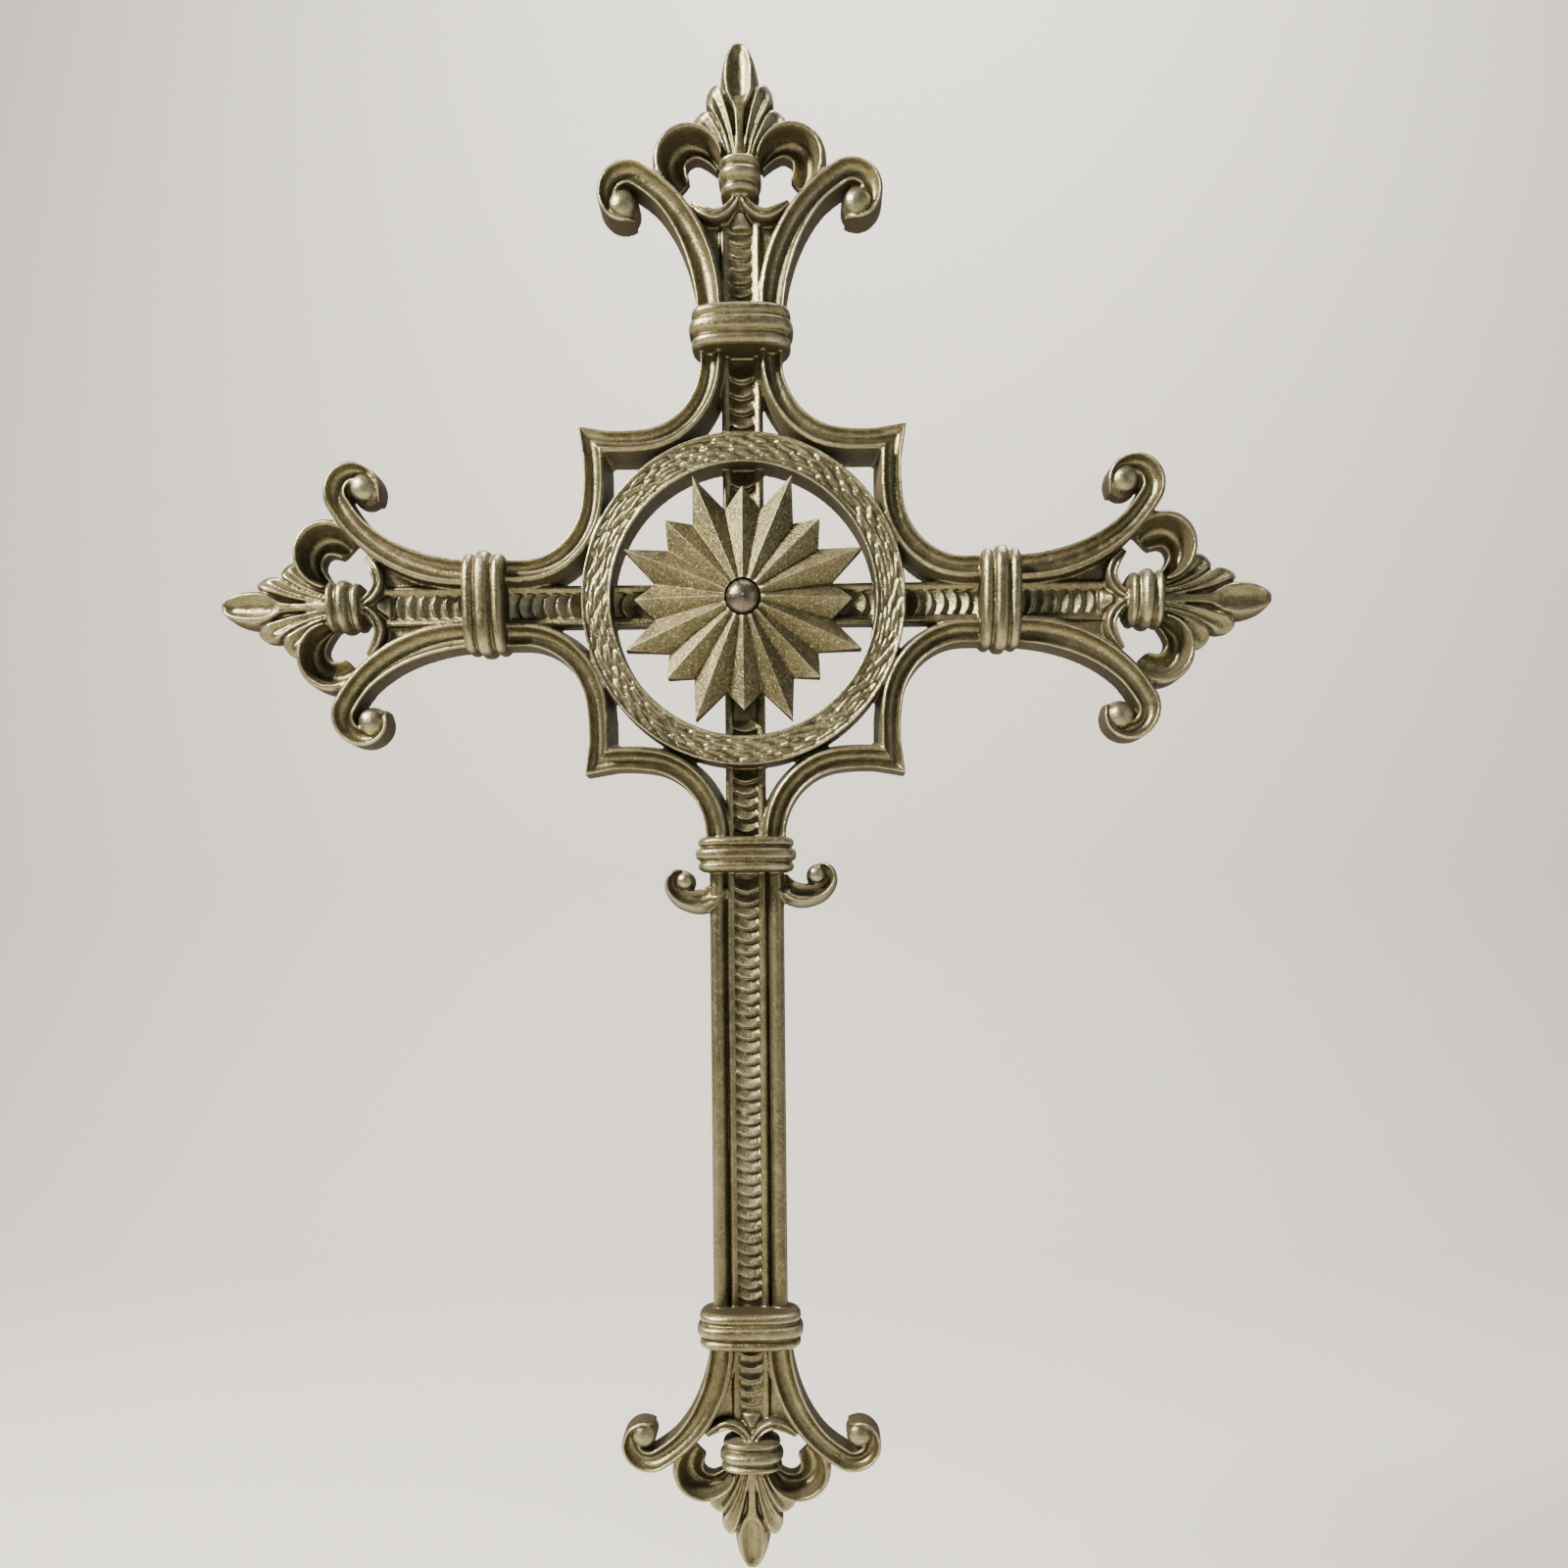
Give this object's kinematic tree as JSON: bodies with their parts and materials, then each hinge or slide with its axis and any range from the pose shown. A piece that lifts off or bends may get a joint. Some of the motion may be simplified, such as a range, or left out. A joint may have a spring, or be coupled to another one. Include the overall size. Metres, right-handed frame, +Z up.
{
  "type": "openwork memorial cross",
  "caption": "Flat-backed ornamental cross with a wreath ring and pleated star at the crossing, scaled bars, collars, and ends of rolled scrolls round a leaf palmette.",
  "frame": {"origin": "on the flat back of the cross, straight behind the centre of the ring", "axes": "+Z up along the shaft, +X to the right as the front is looked at, +Y from the front towards the back, so the front faces -Y"},
  "size_m": [0.4168, 0.0225, 0.6069],
  "materials": {
    "toned_iron": "bronze-toned casting, semi-gloss, with worn bright edges and dark recesses",
    "star_metal": "bronze-toned casting, more matt than the cross",
    "rivet_metal": "dark smooth worn dome, glossier than the star"
  },
  "bodies": {
    "root": {"cross_casting": "toned_iron", "sunburst_rosette": "star_metal", "rosette_rivet": "rivet_metal"}
  },
  "joints": []
}
